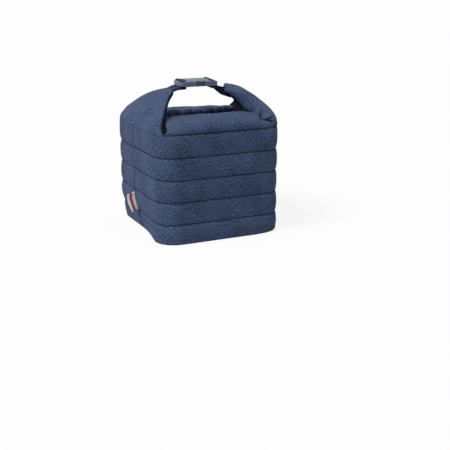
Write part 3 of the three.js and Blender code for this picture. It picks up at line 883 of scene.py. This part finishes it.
def fold_rule(band, edge, fold, dent, seed, fullness=1.0, belly=0.0):
    spread = sum((Vector(b) - Vector(a)).length for a, b in zip(fold, fold[1:])) * mm
    first = Vector(fold[0])

    def rule(across, up):
        share = across if edge > 0 else 1 - across
        point, sideways, _, normal = band.axes(edge, up)
        crumple = ease(0.0, 0.2, share) * (1 - ease(0.75, 1.0, share))
        puckers = ripple((up * 80 * mm, share * 20 * mm, seed), 11 * mm)
        puckers += 0.6 * ripple((up * 160 * mm, share * 10 * mm, seed), 8 * mm)
        size = fold_scale(up, belly) * fullness
        reach = (0.5 + 0.8 * ease(0.55, 1.0, up)) * fullness if first.length else size
        out, down = first * size + (through(fold, share) - first) * reach
        out += crumple * puckers * dent * size
        point = point + (sideways * edge * out - normal * down) * mm
        deep, shade = pressed(point)
        point -= (normal * 0.6 + sideways * edge * 0.8) * deep
        flat = band.flat(edge, up)
        return point, (flat[0] + edge * share * spread * size, flat[1]), shade
    return rule


def wing_rule(band, stations, seed, seamed):
    """A wing's cover goes on from the wall's top channel. The upright seam runs up the left one."""
    def rule(across, up):
        q = across * 2 - 1
        t, turn = stations[round(up * (len(stations) - 1))]
        point = band.around(q, t, turn)
        normal = band.axes(q, t)[3]
        flat = band.flat(q, t, turn * band.half(1))
        fade = ease(0.0, 0.3, t) * (1 - ease(0.94, 1.0, abs(q)))
        soft = ripple((flat[0] * 0.9, flat[1] * 0.5, seed), 20 * mm) * 0.8 * mm
        swell = quilt_bulge * 0.85 * beside(band.start + q * band.reach) * (1 - ease(0.0, 0.3, t))
        joined = math.exp(-((q * band.reach / (1.3 * mm) + 2.7) ** 2)) if seamed else 0.0
        deep, shade = pressed(point)
        out = soft * fade + swell - 0.6 * mm * joined - deep
        # The seam's dip and the corner folds give painted shade
        return point + normal * out, flat, max(shade, 0.35 * joined)
    return rule


for side, band, sense in (("left", left_band, -1), ("right", right_band, 1)):
    start = (sense * half_width, 0, 147.5 * mm)
    end = (sense * 88 * mm, 0, 161 * mm)
    rows = [(i / 40, 0.0) for i in range(41)] + [(1.0, 2.6 * i / 6) for i in range(1, 7)]
    rule = wing_rule(band, rows, sense * 7.3, seamed=sense < 0)
    cloth = lay(f"{side}_wing_cover", 110, len(rows) - 1, rule)
    thicken(cloth, cloth_thickness)
    dress(cloth, denim, "quilted_cloth", f"{side}_wing_cloth")
    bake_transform(cloth)

    rows = [(0.03 + 0.94 * i / 16, 0.0) for i in range(17)]
    fill = lay(f"{side}_wing_fleece", 60, 16, collar_rule(band, rows, depth=2.0 * mm, width=0.82))
    thicken(fill, 3.2 * mm)
    dress(fill, fleece, "wadding", f"{side}_wing_wadding")
    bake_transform(fill)

    rows = [(0.04 + 0.96 * i / 22, math.pi) for i in range(23)]
    rows += [(1.0, math.pi - 0.35 * i) for i in range(1, 5)]
    skin = lay(f"{side}_wing_facing", 60, len(rows) - 1, facing_rule(band, rows, 0.98, 0))
    thicken(skin, 0.6 * mm)
    dress(skin, shaded_facing, "facing_cloth", f"{side}_wing_lining")
    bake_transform(skin)
    declare_cut(skin, "folded", f"{side}_wing_fleece")

    for place, front in (("front", True), ("back", False)):
        edge = (1 if front else -1) * -sense
        fold, dent = (right_fold, 0.9) if sense > 0 else (left_fold, 0.5)
        fullness = 1.0 if front or sense < 0 else 0.25
        belly = 0.45 if front and sense > 0 else 0.0
        gusset_body = f"{side}_{place}_gusset"
        rule = fold_rule(band, edge, fold, dent, edge * 2.2 + sense, fullness, belly)
        gusset = lay(f"{side}_{place}_fold", 26, 70, rule)
        thicken(gusset, cloth_thickness)
        dress(gusset, denim, "quilted_cloth", gusset_body)
        ridge_1 = band.skin(edge, 0.06)
        ridge_2 = band.skin(edge, 0.94)
        chord = (ridge_2 - ridge_1).normalized()
        normal = band.axes(edge, 0.5)[3]
        down = -(normal - chord * normal.dot(chord)).normalized()
        level = (ridge_1 + ridge_2) / 2
        unfolding = (level + down * 2 * mm, level + down * 11 * mm)
        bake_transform(gusset)
        if sense > 0:
            rule = fold_rule(band, edge, hem_fold, 0.7, edge * 4.2 + sense, fullness, belly)
            hem = lay(f"{side}_{place}_hem", 12, 60, rule)
            thicken(hem, 0.8 * mm)
            dress(hem, shaded_facing, "facing_cloth")
            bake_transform(hem)


# Each corner of the collar is gathered into small pleats where a wing and a flap part. The gathers
# are the same cloth, and the front right corner has the deepest.
pleat_depth = 3 * mm


def pleat_rule(wing, flap, wing_edge, folds, rise, span):
    """Ridges that run inwards from the corner, with a deep fold between each two"""
    def rule(across, up):
        turn = 1 - across if wing_edge < 0 else across
        reach = 0.02 + span * up
        point = wing.skin(wing_edge, reach).lerp(flap.skin(-wing_edge * 0.985, reach * 0.95), turn)
        bend = turn + 0.05 * math.sin(9 * up + 2 * turn) * math.sin(math.pi * turn)
        valley = abs(math.sin(math.pi * folds * bend)) ** 1.6
        opened = ease(0.0, 0.45, up)
        point.z += (rise * math.sin(math.pi * turn) - pleat_depth * valley * (1 + up)) * opened
        point.z -= 0.8 * mm
        # The valleys of the pleats get painted shade
        return point, (turn * 24 * mm, up * 30 * mm), 0.95 * valley ** 2 * opened
    return rule


for side, wing, sense_x in (("left", left_band, -1), ("right", right_band, 1)):
    for place, flap, sense_y in (("front", front_flap, -1), ("back", back_flap, 1)):
        full = sense_x > 0 > sense_y
        folds, rise, span = (2, 2.5 * mm, 0.44) if full else (1, 0.5 * mm, 0.3)
        rule = pleat_rule(wing, flap, sense_x * sense_y, folds, rise, span)
        pleat = lay(f"{side}_{place}_gathers", 48, 24, rule)
        thicken(pleat, 1.2 * mm)
        dress(pleat, denim, "quilted_cloth", f"{side}_{place}_pleat")
        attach(pleat, "bag")


# The buckle is moulded in one slate blue resin: a socket, a plug with its guide, and two springy
# latch arms. Its top is domed, its edges are rounded and its faces have a fine satin texture. The
# gaps round the latch pads and between the two halves are darkened by painted shade. Places on it are in mm.
bar_x = 21.6
buckle_z = 204.0
tilt = 0.055
resin = Finish("slate resin", roughness=0.4, specular=0.5)
mottle = resin.noise(resin.place((260, 260, 260)), 1.0, 3.0)
spark = resin.noise(resin.place((4200, 4200, 4200)), 1.0, 1.0)
in_mm = resin.place((1000, 1000, 1000))
along_x, along_y, along_z = (resin.split(in_mm, axis) for axis in range(3))


def stretch_of(wire, low, high):
    """1 from low to high, 0 elsewhere"""
    return wire.between(low, low + 0.3) * (1 - wire.between(high - 0.3, high))


# Painted shade in the gaps round the latch pads and between the two halves
frame_of_pad = stretch_of(along_x, -4.9, 8.1) * stretch_of(along_z, buckle_z - 2.9, buckle_z + 2.9)
pad_middle = stretch_of(along_x, -2.9, 6.1) * stretch_of(along_z, buckle_z - 1.3, buckle_z + 1.3)
near_side = (along_y * along_y).between(144, 156)
gap_shade = (frame_of_pad - pad_middle) * near_side + stretch_of(along_x, 9.2, 10.3)
body_tone = resin.mix(mottle, (0.084, 0.112, 0.196), (0.112, 0.145, 0.240))
resin.colour(resin.mix(gap_shade, body_tone, (0.010, 0.013, 0.028)))
resin.rough(mottle * 0.12 + 0.34)
resin.relief(spark, 0.04 * mm)


def domed(point):
    """A place on the square solid moved to the domed and thinned moulding"""
    x, y, z = point / mm
    z -= buckle_z
    side = min(1.0, max(0.0, (abs(y) - 4) / 12)) ** 1.7
    end = ease(20.5, 28.5, -x)
    thinned = (0.85 if z > 0 else 0.35) * side
    if abs(z) > 2.5:
        z = math.copysign(2.5 + (abs(z) - 2.5) * (1 - thinned), z)
    z *= 1 - (0.45 if z > 0 else 0.3) * end
    x += (5.2 if y > 0 else 3) * end * max(0.0, (abs(y) - 8) / 8) ** 2
    return Vector((x, y, z + tilt * y + buckle_z)) * mm


# Where the flat solids are cut, so that they have points to be domed by
dome_rows = (-14.6, -12, -8.5, -4, 4, 8.5, 12, 14.6)
end_rows = (-26.9, -24.6, -20.5)


def moulded(name, node, edge):
    """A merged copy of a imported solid, domed, with its edges rounded. It rides the body that has
    the node's name."""
    bm = bmesh.new()
    bm.from_mesh(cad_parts[node].data)
    bmesh.ops.remove_doubles(bm, verts=bm.verts, dist=1e-6)
    bmesh.ops.dissolve_limit(bm, angle_limit=math.radians(2), verts=bm.verts, edges=bm.edges)
    for x, y in [(0, y) for y in dome_rows] + [(x, 0) for x in end_rows]:
        bmesh.ops.bisect_plane(
            bm, geom=list(bm.verts) + list(bm.edges) + list(bm.faces), dist=1e-7,
            plane_co=(x * mm, y * mm, 0), plane_no=(1, 0, 0) if x else (0, 1, 0),
        )
    for v in bm.verts:
        v.co = domed(v.co)
    sharp = [e for e in bm.edges if len(e.link_faces) == 2 and e.calc_face_angle(0) > math.radians(35)]
    bmesh.ops.bevel(
        bm, geom=sharp, offset=edge, affect="EDGES", segments=2, profile=0.5, material=-1,
        clamp_overlap=True,
    )
    bmesh.ops.triangulate(bm, faces=[f for f in bm.faces if len(f.verts) > 4])
    made = finish_mesh(name, bm, smooth=False)
    dress(made, resin, "buckle_resin", node)
    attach(made, node)


moulded("socket", "buckle_socket", 0.35 * mm)
moulded("plug", "buckle_plug", 0.3 * mm)
moulded("front_latch", "latch_arm_front", 0.2 * mm)
moulded("back_latch", "latch_arm_back", 0.2 * mm)


# Each half of the buckle hangs in a loop of woven navy webbing. The loop passes through the two
# slots and over the bar, and both of its ends are sewn into the wing's tip.
webbing = Finish("navy webbing", roughness=0.85, sheen=0.03, specular=0.2)
cord_turns = 2 * math.pi / (1.6 * mm)
pick_turns = 2 * math.pi / (0.9 * mm)
cords = webbing.split(webbing.threads((cord_turns, 1, 1)), 0).sine() * 0.5 + 0.5
picks = webbing.split(webbing.threads((1, pick_turns, 1)), 1).sine() * 0.5 + 0.5
yarn = webbing.noise(webbing.threads((1500, 500, 1)))
webbing.colour(webbing.mix(cords * 0.5 + yarn * 0.5, (0.010, 0.014, 0.040), (0.050, 0.062, 0.140)))
webbing.relief(cords * 0.7 + picks * 0.4, 0.3 * mm)
strap_width = 25 * mm
strap_length = 78 * mm
strap_thickness = 1.4 * mm
loop_line = [
    (-20.5, -9.4), (-12, -6.7), (-7.9, -5.3), (-3.4, -5.0), (-2.75, -4.2), (-2.7, 0), (-2.5, 2.8),
    (0, 3.6), (2.5, 2.8), (2.7, 0), (2.6, -4.5), (2.0, -6.6), (-2, -7.0), (-7.9, -7.1),
    (-12, -8.3), (-20.5, -11.2),
]


def strap_rule(sense):
    def rule(across, up):
        x, z = through(loop_line, up)
        sideways = (across - 0.5) * -sense * strap_width
        height = (buckle_z + z) * mm + tilt * sideways * (1 - ease(6, 18, -x))
        point = Vector((sense * (bar_x - x) * mm, sideways, height))
        return point, (across * strap_width, up * strap_length), 0.0
    return rule


def swivel_span(sense):
    """Where the webbing starts and ends to bend, from the wing to the buckle"""
    return (sense * 38 * mm, 0, 197 * mm), (sense * 30 * mm, 0, 200 * mm)


for side, sense, half in (("left", -1, "buckle_socket"), ("right", 1, "buckle_plug")):
    strap = lay(f"{side}_strap", 12, 90, strap_rule(sense))
    thicken(strap, strap_thickness, offset=0)
    dress(strap, webbing, "webbing", f"{side}_webbing")
    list(swivel_span(sense))
    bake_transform(strap)


# A tongue of the dark facing runs from the right wing's front hem to the webbing. It is sewn to the
# wing's tip.
def tongue_rule(across, up):
    low = through([(21.7, -11.5, 197.2), (32.5, -14, 187.6), (41.5, -15.5, 183.7), (49, -16.5, 181)], across)
    top = through([(21.7, -11, 198.4), (32, -12.5, 198), (40, -13.5, 196.5), (49, -14.5, 193)], across)
    point = low.lerp(top, up) * mm
    point.y += 0.8 * mm * ripple((across * 30 * mm, up * 10 * mm, 8.0), 6 * mm)
    return point, (across * 30 * mm, up * 12 * mm), 0.0


tongue = lay("right_hem_tongue", 30, 14, tongue_rule)
thicken(tongue, 0.8 * mm)
# It wears the darker copy of the facing, with painted shade
dress(tongue, shaded_facing, "facing_cloth")
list(swivel_span(1))
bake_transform(tongue)
